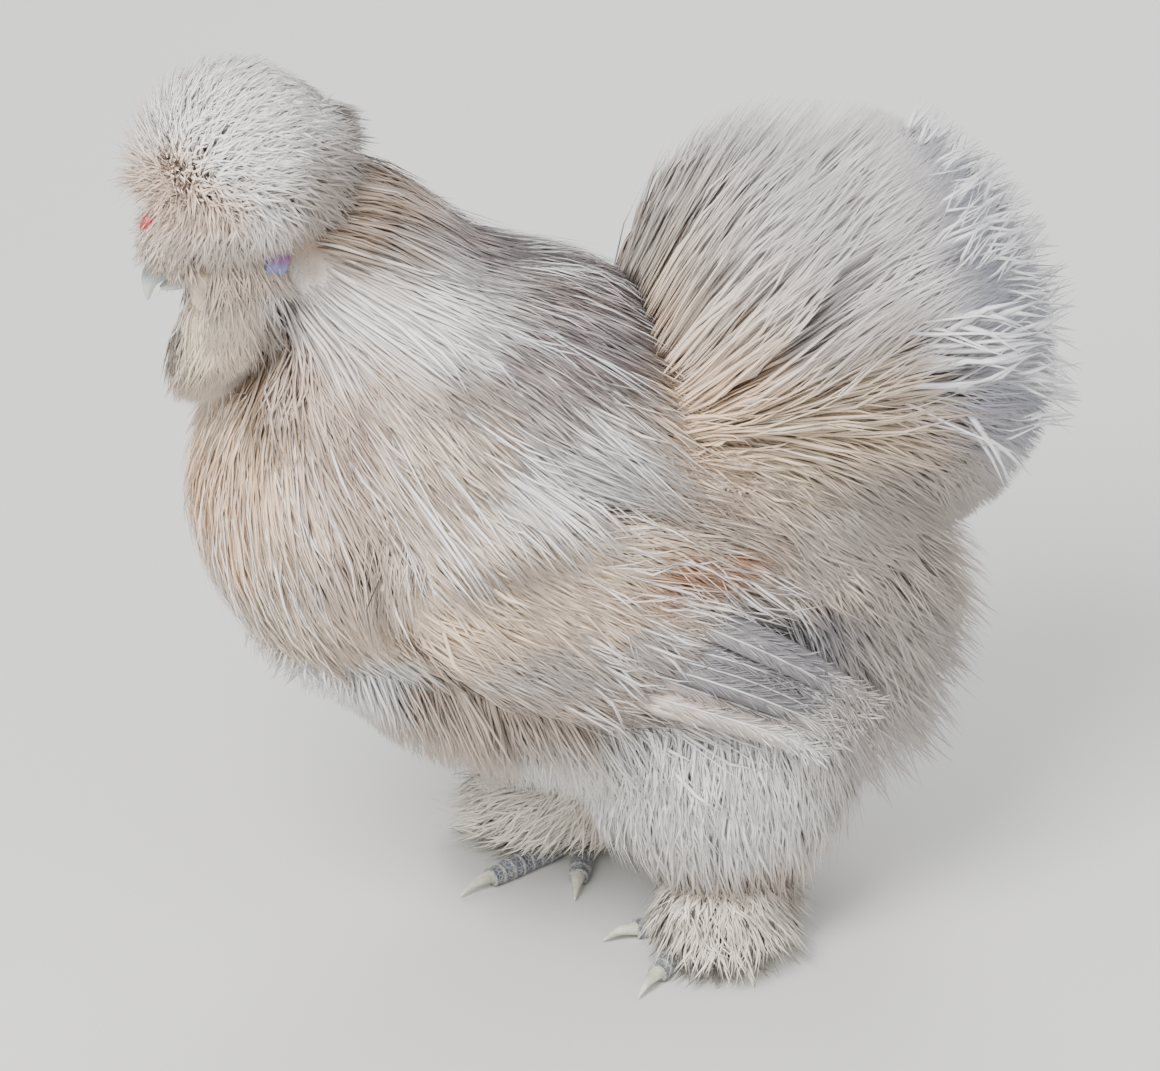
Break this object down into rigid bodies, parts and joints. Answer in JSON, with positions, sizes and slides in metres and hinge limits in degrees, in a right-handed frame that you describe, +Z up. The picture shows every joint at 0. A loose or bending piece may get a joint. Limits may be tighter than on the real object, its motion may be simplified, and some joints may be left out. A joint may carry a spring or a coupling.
{
  "type": "silkie chicken",
  "caption": "Bearded silkie chicken standing, life size, with pom-pom crest, silky hackle, cushion tail and feathered feet.",
  "frame": {"origin": "middle of the bounding box, on the floor that the feet stand on", "axes": "+Z up, the bird faces -X, its left side is towards -Y"},
  "size_m": [0.3164, 0.184, 0.3163],
  "materials": {
    "plumage": "soft silky barbless plumage, cream grey with peach and grey streaks",
    "flight_feather": "shredded lilac-grey vanes, soft sheen",
    "face_skin": "thin finely pebbled skin",
    "comb": "moist pebbled skin",
    "earlobe": "smooth wrinkled skin",
    "beak": "satin horn",
    "eye": "wet and clear",
    "toe_scale": "horny scutes with pale edges",
    "claw": "satin horn"
  },
  "bodies": {
    "root": {"head": "face_skin", "eye_left": "eye", "eye_right": "eye", "earlobe_left": "earlobe", "earlobe_right": "earlobe", "comb": "comb", "beak_upper": "beak", "beak_lower": "beak", "crest": "plumage", "beard": "plumage", "neck": "plumage", "torso": "plumage", "tail": "flight_feather", "wing_left": "flight_feather", "wing_right": "flight_feather", "thigh_left": "plumage", "thigh_right": "plumage", "plume_left": "plumage", "plume_right": "plumage", "foot_left": "toe_scale", "foot_right": "toe_scale", "claw_left_1": "claw", "claw_left_2": "claw", "claw_left_3": "claw", "claw_left_4": "claw", "claw_left_5": "claw", "claw_right_1": "claw", "claw_right_2": "claw", "claw_right_3": "claw", "claw_right_4": "claw", "claw_right_5": "claw"}
  },
  "joints": []
}
